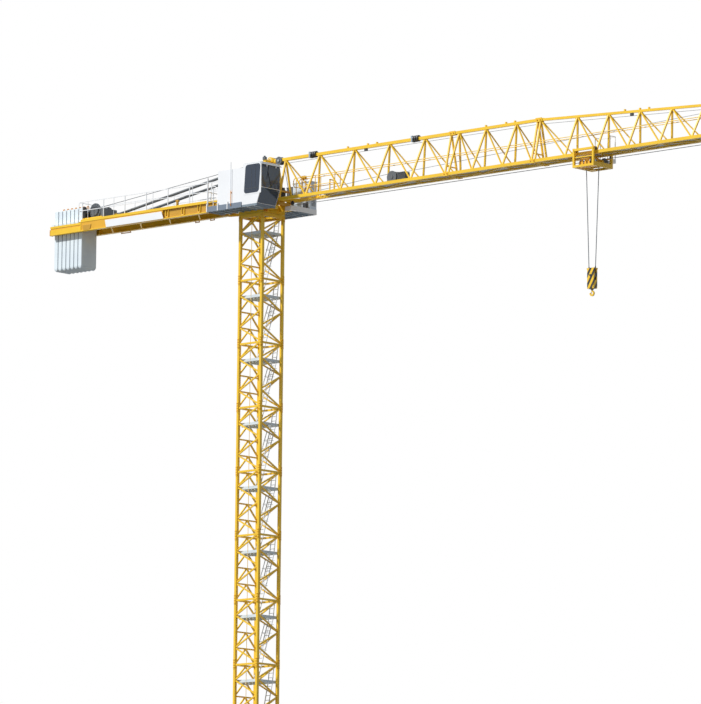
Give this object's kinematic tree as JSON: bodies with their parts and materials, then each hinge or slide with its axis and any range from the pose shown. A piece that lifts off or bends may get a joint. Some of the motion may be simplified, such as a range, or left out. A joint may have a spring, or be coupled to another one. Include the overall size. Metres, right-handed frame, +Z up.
{
  "type": "flat-top tower crane, 1:2 scale model",
  "caption": "Flat-top tower crane model at half size: braced lattice tower, slewing upperworks with cab, tapering jib with trolley and hook block, and counter-jib with concrete slabs",
  "frame": {"origin": "tower axis at ground level, on the base frame's underside", "axes": "+X along the jib, +Z up, +Y to the side away from the cab"},
  "size_m": [31.79, 2.57, 18.7061],
  "materials": {
    "yellow_paint": "gloss yellow machine paint",
    "galvanised_steel": "dull galvanised steel",
    "deck_grey": "blue-grey grating and platform paint",
    "dark_machinery": "dark grey machinery paint",
    "concrete": "pale cast concrete",
    "white_paint": "white sheet-metal paint",
    "cab_glazing": "tinted cab glass",
    "wire_rope": "greased wire rope",
    "cabinet_paint": "light blue-grey cabinet paint",
    "hazard_paint": "black and yellow warning stripes"
  },
  "bodies": {
    "tower": {"base_frame": "yellow_paint", "tower_section_1": "yellow_paint", "tower_section_2": "yellow_paint", "tower_section_3": "yellow_paint", "tower_section_4": "yellow_paint", "tower_section_5": "yellow_paint", "tower_section_6": "yellow_paint", "tower_section_7": "yellow_paint", "tower_section_8": "yellow_paint", "tower_platforms": "deck_grey", "tower_ladders": "galvanised_steel", "slewing_ring_support": "yellow_paint", "slewing_ring_lower": "dark_machinery"},
    "upperworks": {"jib_section_1": "yellow_paint", "jib_section_2": "yellow_paint", "jib_section_3": "yellow_paint", "jib_section_4": "yellow_paint", "slewing_platform": "yellow_paint", "tower_head": "yellow_paint", "jib_tip": "yellow_paint", "counter_jib_frame": "yellow_paint", "counter_jib_railings": "galvanised_steel", "cab_deck_railing": "galvanised_steel", "far_deck_railing": "galvanised_steel", "jib_walkway": "deck_grey", "counter_jib_deck": "deck_grey", "cab_deck": "deck_grey", "far_deck": "deck_grey", "slewing_ring_upper": "dark_machinery", "rope_pulley": "dark_machinery", "head_sheave": "dark_machinery", "tie_rods": "dark_machinery", "winch_bed": "dark_machinery", "winch_drum": "dark_machinery", "winch_motor": "dark_machinery", "trolley_winch": "dark_machinery", "chord_rollers": "dark_machinery", "counterweight_slabs": "concrete", "cab_shell": "white_paint", "sign_panel": "white_paint", "cab_glass": "cab_glazing", "hoist_rope": "wire_rope", "switch_cabinet": "cabinet_paint"},
    "trolley": {"trolley_frame": "yellow_paint", "trolley_sheaves": "dark_machinery", "trolley_wheels": "dark_machinery", "maintenance_basket": "galvanised_steel", "rope_falls": "wire_rope"},
    "hook_block": {"hook_block": "hazard_paint", "hook_block_sheave": "dark_machinery"},
    "hook": {"hook": "yellow_paint"}
  },
  "joints": [
    {"name": "slewing", "type": "hinge", "parent": "tower", "child": "upperworks", "pos_m": [0, 0, 16.915], "axis": [0, 0, 1], "continuous": true},
    {"name": "trolley_travel", "type": "slide", "parent": "upperworks", "child": "trolley", "axis": [1, 0, 0], "range_m": [-12, 8.1]},
    {"name": "hook_hoist", "type": "slide", "parent": "trolley", "child": "hook_block", "axis": [0, 0, 1], "range_m": [-12.4, 2.6], "deforming": ["rope_falls"]},
    {"name": "hook_swivel", "type": "hinge", "parent": "hook_block", "child": "hook", "pos_m": [13.955, 0, 13.07], "axis": [0, 0, 1], "continuous": true}
  ]
}
